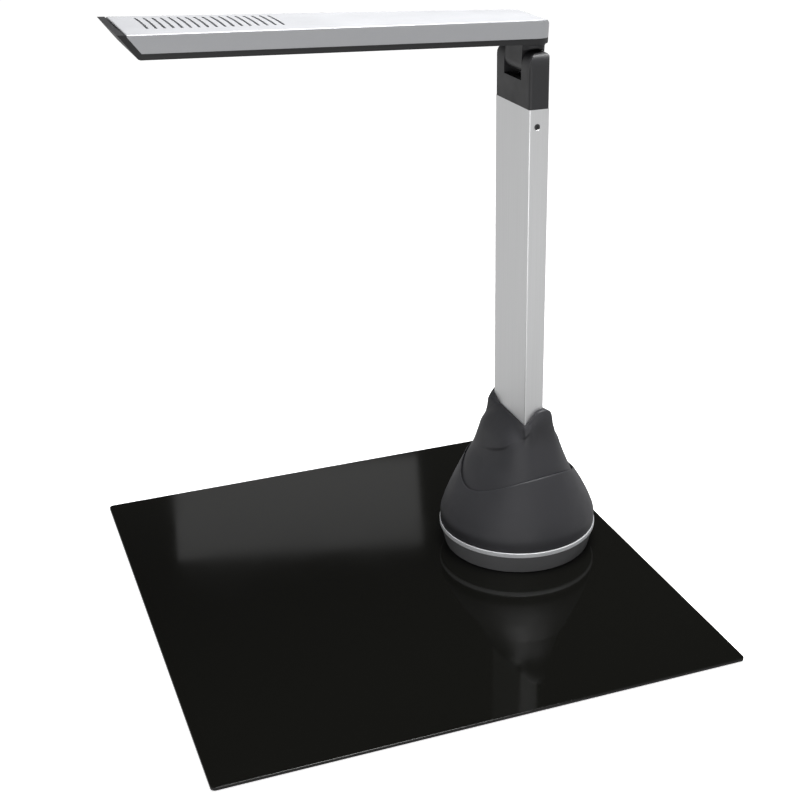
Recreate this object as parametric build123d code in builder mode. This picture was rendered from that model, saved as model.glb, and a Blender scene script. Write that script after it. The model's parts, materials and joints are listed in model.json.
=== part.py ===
"""Document camera: a flat board, a weighted conical base, a column and a folding camera arm.

Millimetres, +Z up. The origin lies under the column's axis, on the surface that the board's pads
rest on. The arm reaches along -X, and its hinge turns about Y at the top of the column.
"""
import os
from math import cos, pi, radians, sin, tan
from build123d import *

# ---- driving dimensions ------------------------------------------------------------------------
pad_height = 1.5
board_thickness = 3.0
board_x = (-433.0, 112.0)
board_y = (-310.0, 254.0)
board_corner = 5.0
deck = pad_height + board_thickness          # height of the board's upper face

base_radius = 88.5
plate_thickness = 4.0
band_height = 21.9
ring_height = 5.4
skirt_bottom = band_height + ring_height     # heights inside the base are counted from the deck
shell_wall = 2.4
rim_height = 162.0                           # collar's level rim beside the column's broad faces
lobe_height = 180.0                          # collar's lobes beside the column's narrow faces
seam_low = 82.0                              # seam between skirt and collar, on the broad sides
seam_rise = 26.0                             # how far it climbs towards the lobes
seam_turn = 8.0                              # degrees that the wavy seam is turned about Z

column_x = 22.0
column_y = 84.0
column_wall = 2.0
column_bottom = plate_thickness + 5.0
column_top = 507.0
fit = 0.1                                    # gap on each side of pieces that slide together
sink_angle = 90                              # countersunk heads and their holes

ear_top = 54.5                               # above the column's top
axis_rise = 42.0                             # hinge axis above the column's top
slot_width = 42.0
slot_floor = 26.0
barrel_radius = 10.4
shaft_radius = 4.0
running_gap = 0.05
cap_split = 37.0                             # ears' outer covers start here

arm_tilt = 3.0                               # degrees that the head stands above level
arm_end = 16.0                               # hinge end of the arm, measured from the hinge axis
arm_under = 20.9                             # heights of the arm's faces above the hinge axis
arm_seam = 26.4
arm_edge = 42.9
arm_crown = 2.2                              # rise of the arched top at the head
head_top = -406.0                            # where the silver shell's slanted end meets its top
cap_run = 7.2                                # width of the dark end cap, seen from above
end_slope = radians(40.0)                    # slant of the head's end from vertical
arm_width_hinge = 74.0
arm_width_head = 114.0
arm_wall = 2.2
camera_x = -345.0                            # lens axis, from the hinge axis
vent_count = 17
vent_width = 2.5
vent_first = -382.0
vent_last = -256.0

base_z = deck                                # short name for heights that start on the board
axis_z = base_z + column_top + axis_rise
tilt = radians(arm_tilt)
arm_plane = Plane(origin=(0, 0, axis_z), x_dir=(cos(tilt), 0, -sin(tilt)), z_dir=(sin(tilt), 0, cos(tilt)))
arm_side = Plane(origin=(0, 0, axis_z), x_dir=(cos(tilt), 0, -sin(tilt)), z_dir=(0, -1, 0))
side = Plane(origin=(0, 0, 0), x_dir=(1, 0, 0), z_dir=(0, -1, 0))       # x right, z up, facing -Y

os.makedirs("parts", exist_ok=True)


def save(builder, name):
    """Label a finished piece and write it as one STEP file."""
    builder.part.label = name
    export_step(builder.part, f"parts/{name}.step")


def flat_screw(radius, head, length, drive=0.28):
    """Countersunk cross-head screw: flat face at z 0, shank down -Z."""
    sink = head - radius
    with BuildPart() as screw:
        with BuildSketch(Plane.XZ):
            Polygon((0, 0), (head, 0), (radius, -sink), (radius, -length + 0.5),
                    (radius - 0.5, -length), (0, -length), align=None)
        revolve(axis=Axis.Z)
        with BuildSketch(Plane.XY):
            Rectangle(head * 1.1, head * drive)
            Rectangle(head * drive, head * 1.1)
        extrude(amount=-head * 0.45, mode=Mode.SUBTRACT)
    return screw.part


def pan_screw(radius, head, height, length):
    """Domed cross-head screw: seat at z 0, head above, shank down -Z."""
    with BuildPart() as screw:
        Cylinder(head, height, align=(Align.CENTER, Align.CENTER, Align.MIN))
        fillet(screw.edges().group_by(Axis.Z)[-1], height * 0.6)
        Cylinder(radius, length, align=(Align.CENTER, Align.CENTER, Align.MAX))
        with BuildSketch(Plane.XY.offset(height)):
            Rectangle(head * 1.1, head * 0.28)
            Rectangle(head * 0.28, head * 1.1)
        extrude(amount=-height * 0.55, mode=Mode.SUBTRACT)
    return screw.part


# ---- board -------------------------------------------------------------------------------------
board_centre = ((board_x[0] + board_x[1]) / 2, (board_y[0] + board_y[1]) / 2)
board_length = board_x[1] - board_x[0]
board_width = board_y[1] - board_y[0]
board_screw_radius = 2.0
board_screw_spots = [(x, y) for x in (-52, 52) for y in (-32, 32)]

with BuildPart() as document_board:
    with BuildSketch(Plane.XY.offset(pad_height)):
        with Locations(board_centre):
            RectangleRounded(board_length, board_width, board_corner)
    extrude(amount=board_thickness)
    fillet(document_board.edges().group_by(Axis.Z)[-1], 0.6)
    for x, y in board_screw_spots:
        with Locations(Location((x, y, pad_height), (180, 0, 0))):
            CounterSinkHole(board_screw_radius + fit, 4.1, board_thickness, sink_angle)
save(document_board, "document_board")

pad_radius = 12.0
pad_inset = 26.0
with BuildPart() as board_pads:
    pad_spots = [(0, 0)]
    for x in (board_x[0] + pad_inset, board_x[1] - pad_inset):
        for y in (board_y[0] + pad_inset, board_y[1] - pad_inset):
            pad_spots.append((x, y))
    with Locations(*pad_spots):
        Cylinder(pad_radius, pad_height, align=(Align.CENTER, Align.CENTER, Align.MIN))
    chamfer(board_pads.edges().group_by(Axis.Z)[0], 0.4)
save(board_pads, "board_pads")

board_screw = flat_screw(board_screw_radius, 4.0, board_thickness + plate_thickness)
with BuildPart() as board_screws:
    for x, y in board_screw_spots:
        with Locations(Location((x, y, pad_height), (180, 0, 0))):
            add(board_screw)
save(board_screws, "board_screws")

# ---- base plate and what stands on it ----------------------------------------------------------
plate_radius = 79.0
weight_radius = 69.5
weight_height = 14.0
flange_x = 60.0
flange_y = 110.0
flange_thickness = 5.0
boss_circle = 74.0
boss_radius = 4.0
skirt_screw_radius = 1.5
weight_spots = [(x, y) for x in (-56, 56) for y in (-14, 14)]
socket_spots = [(x, y) for x in (-25, 25) for y in (-50, 50)]

with BuildPart() as base_plate:
    with Locations((0, 0, base_z)):
        Cylinder(plate_radius, plate_thickness, align=(Align.CENTER, Align.CENTER, Align.MIN))
    chamfer(base_plate.edges().group_by(Axis.Z)[-1], 0.6)
    with Locations(*[(x, y, base_z + plate_thickness) for x, y in board_screw_spots]):
        Hole(board_screw_radius + running_gap)
    with Locations(*[(x, y, base_z + plate_thickness) for x, y in socket_spots]):
        Hole(2.0 + running_gap)
    for x, y in weight_spots:
        with Locations(Location((x, y, base_z), (180, 0, 0))):
            CounterSinkHole(2.0 + fit, 4.1, plate_thickness, sink_angle)
    with PolarLocations(boss_circle, 4, 45):
        with Locations(Location((0, 0, base_z), (180, 0, 0))):
            CounterSinkHole(skirt_screw_radius + fit, 3.1, plate_thickness, sink_angle)
save(base_plate, "base_plate")

with BuildPart() as counterweight:
    with Locations((0, 0, base_z + plate_thickness)):
        Cylinder(weight_radius, weight_height, align=(Align.CENTER, Align.CENTER, Align.MIN))
        Box(flange_x + 4, flange_y + 4, weight_height, align=(Align.CENTER, Align.CENTER, Align.MIN),
            mode=Mode.SUBTRACT)
    fillet(counterweight.edges().group_by(Axis.Z)[-1].filter_by(GeomType.CIRCLE), 1.5)
    with Locations(*[(x, y, base_z + plate_thickness) for x, y in weight_spots]):
        Cylinder(2.0 + running_gap, 8.2, align=(Align.CENTER, Align.CENTER, Align.MIN), mode=Mode.SUBTRACT)
    with Locations(*[(x, y, base_z + plate_thickness + weight_height) for x in (46, 62) for y in (-20, 20)]):
        Cylinder(1.25 + running_gap, 6.2, align=(Align.CENTER, Align.CENTER, Align.MAX), mode=Mode.SUBTRACT)
save(counterweight, "counterweight")

weight_screw = flat_screw(2.0, 4.0, plate_thickness + 8)
with BuildPart() as weight_screws:
    for x, y in weight_spots:
        with Locations(Location((x, y, base_z), (180, 0, 0))):
            add(weight_screw)
save(weight_screws, "weight_screws")

socket_wall = 3.0
socket_height = 62.0
socket_gap = 0.15
with BuildPart() as column_socket:
    with Locations((0, 0, base_z + plate_thickness)):
        Box(flange_x, flange_y, flange_thickness, align=(Align.CENTER, Align.CENTER, Align.MIN))
        Box(column_x + 2 * socket_wall, column_y + 2 * socket_wall, socket_height,
            align=(Align.CENTER, Align.CENTER, Align.MIN))
    fillet(column_socket.edges().filter_by(Axis.Z), 2.0)
    with BuildSketch(Plane.XY.offset(base_z + column_bottom)):
        RectangleRounded(column_x + 2 * socket_gap, column_y + 2 * socket_gap, 1.6)
    extrude(amount=socket_height, mode=Mode.SUBTRACT)
    with Locations(*[(x, y, base_z + plate_thickness + flange_thickness) for x, y in socket_spots]):
        Hole(2.0 + running_gap)
    with Locations(*[Location((s * (column_x / 2 + socket_wall), 0, base_z + 50), (0, s * 90, 0))
                     for s in (-1, 1)]):
        Hole(2.0 + running_gap, socket_wall + 1)
save(column_socket, "column_socket")

socket_screw = pan_screw(2.0, 3.8, 2.6, flange_thickness + plate_thickness)
with BuildPart() as socket_screws:
    with Locations(*[(x, y, base_z + plate_thickness + flange_thickness) for x, y in socket_spots]):
        add(socket_screw)
save(socket_screws, "socket_screws")

clamp_screw = pan_screw(2.0, 3.8, 2.6, socket_wall + socket_gap + column_wall)
with BuildPart() as clamp_screws:
    for s in (-1, 1):
        with Locations(Location((s * (column_x / 2 + socket_wall), 0, base_z + 50), (0, s * 90, 0))):
            add(clamp_screw)
save(clamp_screws, "clamp_screws")

# ---- base shells -------------------------------------------------------------------------------
band_wall = 3.0
foot_radius = 82.8
with BuildPart() as foot_band:
    with BuildSketch(Plane.XZ):
        with BuildLine():
            band_foot = base_z + 0.3
            band_top = base_z + band_height
            Polyline((foot_radius - band_wall, band_foot), (foot_radius - 0.5, band_foot),
                     (foot_radius, band_foot + 0.5), (base_radius - 0.5, band_top - 0.3),
                     (base_radius - 0.8, band_top), (base_radius - 0.8 - band_wall, band_top),
                     (foot_radius - band_wall, band_foot + 5), (foot_radius - band_wall, band_foot))
        make_face()
    revolve(axis=Axis.Z)
save(foot_band, "foot_band")

with BuildPart() as trim_ring:
    with BuildSketch(Plane.XZ):
        with Locations((base_radius - 1.6, base_z + band_height + ring_height / 2)):
            RectangleRounded(4.2, ring_height, 0.8)
    revolve(axis=Axis.Z)
save(trim_ring, "trim_ring")

# Sections of the base's outside: height, half width in X, half width in Y, squareness.
skirt_sections = [(skirt_bottom, 88.0, 88.0, 2.0), (38, 88.0, 87.6, 2.0), (55, 82.0, 83.6, 2.04),
                  (80, 68.4, 74.8, 2.15), (100, 55.8, 66.4, 2.35), (116, 46.4, 59.8, 2.65)]
collar_sections = [(76, 67.6, 74.8, 2.1), (96, 55.6, 67.4, 2.3), (124, 39.8, 55.8, 2.85),
                   (150, 30.0, 47.8, 3.7)]
brow_sections = [(150, 30.0, 47.8, 3.7), (157, 23.0, 46.6, 4.4), (rim_height + 1, 14.6, 45.6, 6.0)]


def section_points(half_x, half_y, square, count=32):
    """Points round a superellipse, evenly turned, from +X."""
    points = []
    for i in range(count):
        c = cos(2 * pi * i / count)
        s = sin(2 * pi * i / count)
        points.append((half_x * (1 if c > 0 else -1) * abs(c) ** (2 / square),
                       half_y * (1 if s > 0 else -1) * abs(s) ** (2 / square)))
    return points


def lofted(sections, inset=0.0, stretch=0.0):
    """Solid through the sections, inset all round and stretched at both ends."""
    with BuildPart() as body:
        for i, (height, half_x, half_y, square) in enumerate(sections):
            end = -stretch if i == 0 else stretch if i == len(sections) - 1 else 0
            with BuildSketch(Plane.XY.offset(base_z + height + end)):
                with BuildLine():
                    Spline(*section_points(half_x - inset, half_y - inset, square), periodic=True)
                make_face()
        loft()
    return body.part


def above_seam():
    """Everything above the wavy seam: a parabola in YZ, run along X and turned about Z."""
    reach = 100.0
    crest = 62.0
    seam_frame = Plane(origin=(0, 0, base_z)).rotated((0, 0, seam_turn))
    across = Plane(origin=seam_frame.origin, x_dir=seam_frame.y_dir, z_dir=seam_frame.x_dir)
    curve = [(y, seam_low + seam_rise * (y / crest) ** 2) for y in range(-80, 81, 20)]
    with BuildPart() as cutter:
        with BuildSketch(across):
            with BuildLine():
                Spline(*curve)
                Polyline(curve[-1], (reach, 260), (-reach, 260), curve[0])
            make_face()
        extrude(amount=reach, both=True)
    return cutter.part


upper_space = above_seam()
usb_width = 12.0
usb_height = 11.0
usb_depth = 16.0
usb_z = 29.0
usb_mouth = 86.0

with BuildPart() as lower_skirt:
    add(lofted(skirt_sections))
    add(lofted(skirt_sections, inset=shell_wall, stretch=1.0), mode=Mode.SUBTRACT)
    add(upper_space, mode=Mode.SUBTRACT)
    with PolarLocations(boss_circle, 4, 45):
        with Locations((0, 0, base_z + plate_thickness)):
            Cylinder(boss_radius, 32, align=(Align.CENTER, Align.CENTER, Align.MIN))
        with Locations((0, 0, base_z + skirt_bottom + 2)):
            Box(12.4, 2.4, 10, align=(Align.MIN, Align.CENTER, Align.MIN))
        with Locations((0, 0, base_z + plate_thickness)):
            Cylinder(skirt_screw_radius + running_gap, 10.2, align=(Align.CENTER, Align.CENTER, Align.MIN),
                     mode=Mode.SUBTRACT)
    with Locations((usb_mouth - 4, 0, base_z + usb_z + usb_height / 2)):
        Box(12, usb_width + 0.8, usb_height + 0.8, align=(Align.MIN, Align.CENTER, Align.CENTER),
            mode=Mode.SUBTRACT)
save(lower_skirt, "lower_skirt")

skirt_screw = flat_screw(skirt_screw_radius, 3.0, plate_thickness + 10)
with BuildPart() as skirt_screws:
    with PolarLocations(boss_circle, 4, 45):
        with Locations(Location((0, 0, base_z), (180, 0, 0))):
            add(skirt_screw)
save(skirt_screws, "skirt_screws")


def lobe_profile(direction):
    """Space above the rim on one side of the base; direction is -1 on the -Y side."""
    with BuildPart() as cutter:
        plane = Plane(origin=(0, direction * 41.6, base_z), x_dir=(-direction, 0, 0), z_dir=(0, direction, 0))
        with BuildSketch(plane):
            with BuildLine():
                Line((-90, rim_height), (-11.5, rim_height))
                Spline((-11.5, rim_height), (-6.5, rim_height + 5.5), (-3.5, rim_height + 13),
                       (3, lobe_height), (9.5, lobe_height - 2), (13.5, lobe_height - 8),
                       tangents=((0.6, 0.4), (0.2, -1)))
                Polyline((13.5, lobe_height - 8), (15.5, rim_height), (90, rim_height), (90, 230),
                         (-90, 230), (-90, rim_height))
            make_face()
        extrude(amount=60)
    return cutter.part


with BuildPart() as upper_collar:
    add(lofted(collar_sections))
    add(lofted(brow_sections))
    with BuildSketch(Plane.XY.offset(base_z + rim_height)):
        with BuildLine():
            Spline(*section_points(14.6, 45.6, 6.0), periodic=True)
        make_face()
    extrude(amount=lobe_height - rim_height)
    add(lofted(collar_sections, inset=shell_wall, stretch=1.0), mode=Mode.SUBTRACT)
    with BuildSketch(Plane.XY.offset(base_z + 149)):
        RectangleRounded(column_x + 2 * fit, column_y + 2 * fit, 1.7)
    extrude(amount=60, mode=Mode.SUBTRACT)
    with Locations((0, 0, base_z + rim_height)):
        Box(80, 83.2, 40, align=(Align.CENTER, Align.CENTER, Align.MIN), mode=Mode.SUBTRACT)
    add(lobe_profile(-1), mode=Mode.SUBTRACT)
    add(lobe_profile(1), mode=Mode.SUBTRACT)
    add(upper_space, mode=Mode.INTERSECT)
save(upper_collar, "upper_collar")

# ---- control board in the base -----------------------------------------------------------------
board_pcb_x = (42.0, 80.0)
pcb_thickness = 1.6
pcb_z = base_z + usb_z - pcb_thickness
weight_top = base_z + plate_thickness + weight_height
standoff_spots = [(x, y) for x in (46, 62) for y in (-20, 20)]
with BuildPart() as control_pcb:
    with Locations(((board_pcb_x[0] + board_pcb_x[1]) / 2, 0, pcb_z)):
        Box(board_pcb_x[1] - board_pcb_x[0], 50, pcb_thickness,
            align=(Align.CENTER, Align.CENTER, Align.MIN))
    fillet(control_pcb.edges().filter_by(Axis.Z), 2.0)
    with Locations(*[(x, y, pcb_z + pcb_thickness) for x, y in standoff_spots]):
        Hole(1.25 + fit)
    with Locations((52, 0, pcb_z + pcb_thickness)):
        Box(9, 9, 1.2, align=(Align.CENTER, Align.CENTER, Align.MIN))
    with Locations((50, 14, pcb_z + pcb_thickness), (50, -14, pcb_z + pcb_thickness)):
        Box(5, 4, 1.6, align=(Align.CENTER, Align.CENTER, Align.MIN))
save(control_pcb, "control_pcb")

with BuildPart() as pcb_standoffs:
    with BuildSketch(Plane.XY.offset(weight_top)):
        with Locations(*standoff_spots):
            RegularPolygon(2.9, 6)
    extrude(amount=pcb_z - weight_top)
    with BuildSketch(Plane.XY.offset(weight_top - 6)):
        with Locations(*standoff_spots):
            Circle(1.25)
    extrude(amount=6)
    with Locations(*[(x, y, pcb_z) for x, y in standoff_spots]):
        Cylinder(1.25 + running_gap, 4.6, align=(Align.CENTER, Align.CENTER, Align.MAX), mode=Mode.SUBTRACT)
save(pcb_standoffs, "pcb_standoffs")

pcb_screw = pan_screw(1.25, 2.4, 1.7, pcb_thickness + 4.4)
with BuildPart() as pcb_screws:
    with Locations(*[(x, y, pcb_z + pcb_thickness) for x, y in standoff_spots]):
        add(pcb_screw)
save(pcb_screws, "pcb_screws")

with BuildPart() as usb_socket:
    with Locations((usb_mouth, 0, base_z + usb_z)):
        Box(usb_depth, usb_width, usb_height, align=(Align.MAX, Align.CENTER, Align.MIN))
    fillet(usb_socket.edges().filter_by(Axis.X).group_by(Axis.Z)[-1], 1.6)
    with Locations((usb_mouth, 0, base_z + usb_z + usb_height / 2)):
        Box(10, 8.6, 7.9, align=(Align.MAX, Align.CENTER, Align.CENTER), mode=Mode.SUBTRACT)
    with Locations((usb_mouth - 1.6, 0, base_z + usb_z + usb_height / 2)):
        Box(9, 5.6, 3.2, align=(Align.MAX, Align.CENTER, Align.CENTER))
save(usb_socket, "usb_socket")

# ---- column ------------------------------------------------------------------------------------
cable_port_z = 84.0
top_screw_z = 489.5
top_screw_x = -2.0
with BuildPart() as column_tube:
    with BuildSketch(Plane.XY.offset(base_z + column_bottom)):
        RectangleRounded(column_x, column_y, 1.5)
        RectangleRounded(column_x - 2 * column_wall, column_y - 2 * column_wall, 0.6, mode=Mode.SUBTRACT)
    extrude(amount=column_top - column_bottom)
    for s in (-1, 1):
        with Locations(Location((top_screw_x * -s, s * column_y / 2, base_z + top_screw_z), (-s * 90, 0, 0))):
            CounterSinkHole(1.7, 3.35, column_wall + 0.5, sink_angle)
        with Locations(Location((s * column_x / 2, 0, base_z + 50), (0, s * 90, 0))):
            Hole(2.0 + running_gap, column_wall + 0.5)
    with Locations((0, 0, base_z + cable_port_z)):
        Box(column_x, 12, 9, align=(Align.MIN, Align.CENTER, Align.CENTER), mode=Mode.SUBTRACT)
save(column_tube, "column_tube")

# ---- hinge on top of the column ----------------------------------------------------------------
top_z = base_z + column_top
plug_length = 45.0
front_run, front_rise = 12.0, 22.0           # rounding of the ears towards -X
back_run, back_rise = 4.0, 18.0              # and towards +X
side_run, side_rise = 10.0, 22.0             # and towards the sides
knuckle_corner = 3.0


def knuckle():
    """Outside of the fork with its ears and covers, before it is divided."""
    half = column_x / 2
    wide = column_y / 2
    crown = top_z + ear_top
    with BuildPart() as body:
        with BuildSketch(side):
            with BuildLine():
                Polyline((-half, crown - front_rise), (-half, top_z), (half, top_z),
                         (half, crown - back_rise))
                Spline((half, crown - back_rise), (half - back_run, crown), tangents=((0, 1), (-1, 0)))
                Line((half - back_run, crown), (-half + front_run, crown))
                Spline((-half + front_run, crown), (-half, crown - front_rise), tangents=((-1, 0), (0, -1)))
            make_face()
        extrude(amount=column_y / 2, both=True)
        with BuildSketch(Plane.YZ):
            with BuildLine():
                Polyline((-wide, crown - side_rise), (-wide, top_z), (wide, top_z),
                         (wide, crown - side_rise))
                Spline((wide, crown - side_rise), (wide - side_run, crown), tangents=((0, 1), (-1, 0)))
                Line((wide - side_run, crown), (-wide + side_run, crown))
                Spline((-wide + side_run, crown), (-wide, crown - side_rise), tangents=((-1, 0), (0, -1)))
            make_face()
        extrude(amount=column_x, both=True, mode=Mode.INTERSECT)
        with BuildSketch(Plane.XY.offset(top_z)):
            RectangleRounded(column_x, column_y, knuckle_corner)
        extrude(amount=ear_top + 1, mode=Mode.INTERSECT)
    return body.part


knuckle_body = knuckle()
peg_spots = [(-5.0, 14.0), (5.0, 14.0)]      # covers' pegs: x, and height above the column's top
bolt_head_radius = 6.8
bolt_head_height = 5.0

with BuildPart() as hinge_fork:
    add(knuckle_body)
    for s in (-1, 1):
        with Locations((0, s * cap_split, top_z)):
            Box(60, 30, 200, align=(Align.CENTER, Align.MIN if s > 0 else Align.MAX, Align.CENTER),
                mode=Mode.SUBTRACT)
    with Locations((0, 0, top_z + slot_floor)):
        Box(60, slot_width, 60, align=(Align.CENTER, Align.CENTER, Align.MIN), mode=Mode.SUBTRACT)
    with BuildSketch(Plane.XY.offset(top_z - plug_length)):
        RectangleRounded(column_x - 2 * column_wall - 2 * fit, column_y - 2 * column_wall - 2 * fit, 0.8)
        Rectangle(8, 56, mode=Mode.SUBTRACT)
    extrude(amount=plug_length)
    with Locations((0, 0, top_z + slot_floor)):
        Box(8, 30, slot_floor + 2, align=(Align.CENTER, Align.CENTER, Align.MAX), mode=Mode.SUBTRACT)
    with Locations(Location((0, 0, axis_z), (90, 0, 0))):
        Cylinder(shaft_radius + running_gap, column_y, mode=Mode.SUBTRACT)
    for s in (-1, 1):
        with Locations(Location((0, s * (cap_split - 3), axis_z), (90, 0, 0))):
            Cylinder(bolt_head_radius + 0.4, 6.0, mode=Mode.SUBTRACT)
        with Locations(*[Location((x, s * (cap_split - 3), top_z + h), (90, 0, 0)) for x, h in peg_spots]):
            Cylinder(1.6, 6.0, mode=Mode.SUBTRACT)
        with Locations(Location((top_screw_x * -s, s * (column_y / 2 - column_wall), base_z + top_screw_z),
                                (-s * 90, 0, 0))):
            Hole(1.5 + running_gap, 9)
save(hinge_fork, "hinge_fork")

for label, s in (("near_ear_cover", -1), ("far_ear_cover", 1)):
    with BuildPart() as ear_cover:
        add(knuckle_body)
        with Locations((0, s * (cap_split + 0.15), top_z)):
            Box(60, 120, 200, align=(Align.CENTER, Align.MAX if s > 0 else Align.MIN, Align.CENTER),
                mode=Mode.SUBTRACT)
        with Locations(*[Location((x, s * (cap_split - 2.3), top_z + h), (90, 0, 0)) for x, h in peg_spots]):
            Cylinder(1.5, 5.0)
    save(ear_cover, label)

top_screw = flat_screw(1.5, 3.0, 9.5)
with BuildPart() as column_top_screws:
    for s in (-1, 1):
        with Locations(Location((top_screw_x * -s, s * (column_y / 2 - 0.3), base_z + top_screw_z),
                                (-s * 90, 0, 0))):
            add(top_screw)
save(column_top_screws, "column_top_screws")

with BuildPart() as hinge_shaft:
    with Locations(Location((0, 0, axis_z), (90, 0, 0))):
        Cylinder(shaft_radius, 2 * cap_split - 1)
    with BuildSketch(Plane.XZ.offset(cap_split - 0.5)):
        with Locations((0, axis_z)):
            Circle(bolt_head_radius)
            RegularPolygon(3.4, 6, mode=Mode.SUBTRACT)
    extrude(amount=-bolt_head_height)
save(hinge_shaft, "hinge_shaft")

with BuildPart() as hinge_nut:
    with BuildSketch(Plane.XZ.offset(-cap_split + 0.5)):
        with Locations((0, axis_z)):
            RegularPolygon(6.6, 6)
            Circle(shaft_radius + running_gap, mode=Mode.SUBTRACT)
    extrude(amount=bolt_head_height)
save(hinge_nut, "hinge_nut")

tongue_half = 20.3
washer_thickness = slot_width / 2 - tongue_half - 0.1
with BuildPart() as friction_washers:
    for s in (-1, 1):
        with BuildSketch(Plane.XZ.offset(s * (slot_width / 2 - 0.05))):
            with Locations((0, axis_z)):
                Circle(9.0)
                Circle(shaft_radius + 0.2, mode=Mode.SUBTRACT)
        extrude(amount=-s * washer_thickness)
save(friction_washers, "friction_washers")

# ---- neck: the arm's half of the hinge ---------------------------------------------------------
neck_half = barrel_radius                    # the neck's faces run into its barrel
plinth_y = 62.0
plinth_back = 11.0
plinth_clear = 16.0                          # radius that the plinth's underside keeps from the axis
bush_radius = 6.0
bush_length = 12.0
neck_block_top = arm_under + arm_wall
neck_screw_spots = [(0, y) for y in (-20, -8, 8, 20)]


def plinth_outline(grow=0.0):
    """D-shaped plan of the plinth: wide round corners in front, small ones behind."""
    front = -neck_half - grow
    back = plinth_back + grow
    half = plinth_y / 2 + grow
    round_front = 14.0
    round_back = 6.5
    with BuildSketch() as outline:
        with BuildLine():
            Line((back, half - round_back), (back, -half + round_back))
            TangentArc((back, -half + round_back), (back - round_back, -half), tangent=(0, -1))
            Line((back - round_back, -half), (front + round_front, -half))
            TangentArc((front + round_front, -half), (front, -half + round_front), tangent=(-1, 0))
            Line((front, -half + round_front), (front, half - round_front))
            TangentArc((front, half - round_front), (front + round_front, half), tangent=(0, 1))
            Line((front + round_front, half), (back - round_back, half))
            TangentArc((back - round_back, half), (back, half - round_back), tangent=(1, 0))
        make_face()
    return outline.sketch


flare = 2.6
with BuildPart() as hinge_neck:
    with BuildSketch(arm_plane.offset(9)):
        add(plinth_outline())
    extrude(amount=arm_under - 9 - flare)
    with BuildSketch(arm_plane.offset(arm_under - flare)):
        add(plinth_outline())
    with BuildSketch(arm_plane.offset(arm_under)):
        add(plinth_outline(grow=0.9))
    loft()
    with BuildSketch(arm_side):
        Circle(plinth_clear)
    extrude(amount=60, both=True, mode=Mode.SUBTRACT)
    with BuildSketch(arm_side):
        Circle(barrel_radius)
        with Locations((0, 0)):
            Rectangle(2 * neck_half, arm_under, align=(Align.CENTER, Align.MIN))
    extrude(amount=tongue_half, both=True)
    with BuildSketch(arm_plane.offset(arm_under)):
        Rectangle(14, 56)
    extrude(amount=neck_block_top - arm_under)
    with BuildSketch(arm_side):
        Circle(bush_radius)
    extrude(amount=tongue_half + 1, both=True, mode=Mode.SUBTRACT)
    with BuildSketch(arm_plane.offset(neck_block_top)):
        with Locations(*neck_screw_spots):
            Circle(1.5 + running_gap)
    extrude(amount=-6.8, mode=Mode.SUBTRACT)
save(hinge_neck, "hinge_neck")

with BuildPart() as hinge_bushes:
    for s in (-1, 1):
        with BuildSketch(Plane.XZ.offset(s * tongue_half)):
            with Locations((0, axis_z)):
                Circle(bush_radius - 0.02)
                Circle(shaft_radius + running_gap, mode=Mode.SUBTRACT)
        extrude(amount=-s * bush_length)
save(hinge_bushes, "hinge_bushes")

# ---- arm shells --------------------------------------------------------------------------------
head_seam = head_top + (arm_edge - arm_seam) * tan(end_slope)
cap_top = head_top - cap_run
cap_under = cap_top + (arm_edge - arm_under) * tan(end_slope)
crown_radius = (arm_width_head / 2) ** 2 / (2 * arm_crown)
crown_top = arm_edge + arm_crown


def arm_half_width(x):
    """Half width of the arm at x from the hinge axis."""
    share = (arm_end - x) / (arm_end - head_top)
    return (arm_width_hinge + (arm_width_head - arm_width_hinge) * share) / 2


def arm_plan(inset=0.0, corner=20.0):
    """Tapered plan of the arm, with rounded corners at the hinge end."""
    far = head_top - 30
    hinge = arm_end - inset
    round_by = corner - inset
    with BuildSketch(arm_plane) as plan:
        with BuildLine():
            Polyline((hinge, arm_half_width(arm_end) - inset), (far, arm_half_width(far) - inset),
                     (far, -arm_half_width(far) + inset), (hinge, -arm_half_width(arm_end) + inset),
                     close=True)
        make_face()
        fillet(plan.vertices().group_by(Axis.X)[-1], round_by)
    return plan.sketch


def arm_profile(points):
    """Side profile of the arm, as a sketch in the arm's vertical plane."""
    with BuildSketch(arm_side) as profile:
        with BuildLine():
            Polyline(*points, close=True)
        make_face()
    return profile.sketch


def arm_block(plan, points):
    """Plan raised through the arm's height, kept where the side profile reaches."""
    with BuildPart() as block:
        extrude(plan, amount=60)
        extrude(arm_profile(points), amount=90, both=True, mode=Mode.INTERSECT)
    return block.part


outer_plan = arm_plan()
inner_plan = arm_plan(arm_wall)
end_wall = 3.0
ceiling = arm_edge - 2.4
end_round = 14.0                             # rounding of the top where it meets the hinge end
top_outside = [(arm_end + 1, arm_seam), (arm_end + 1, crown_top + 1),
               (head_top - (crown_top + 1 - arm_edge) * tan(end_slope), crown_top + 1), (head_seam, arm_seam)]
top_inside = [(arm_end + 1, arm_seam - 1), (arm_end + 1, ceiling - end_round + arm_wall),
              (arm_end - end_round + arm_wall, ceiling),
              (head_top + end_wall + (arm_edge - ceiling) * tan(end_slope), ceiling),
              (head_seam + end_wall + tan(end_slope), arm_seam - 1)]
crown_plane = arm_plane.offset(crown_top - crown_radius)
boss_spots = [(x, s * (arm_half_width(x) - 9)) for x in (-25, -190, -378) for s in (-1, 1)]
shell_boss = 3.4

edge_round = 1.2

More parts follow.
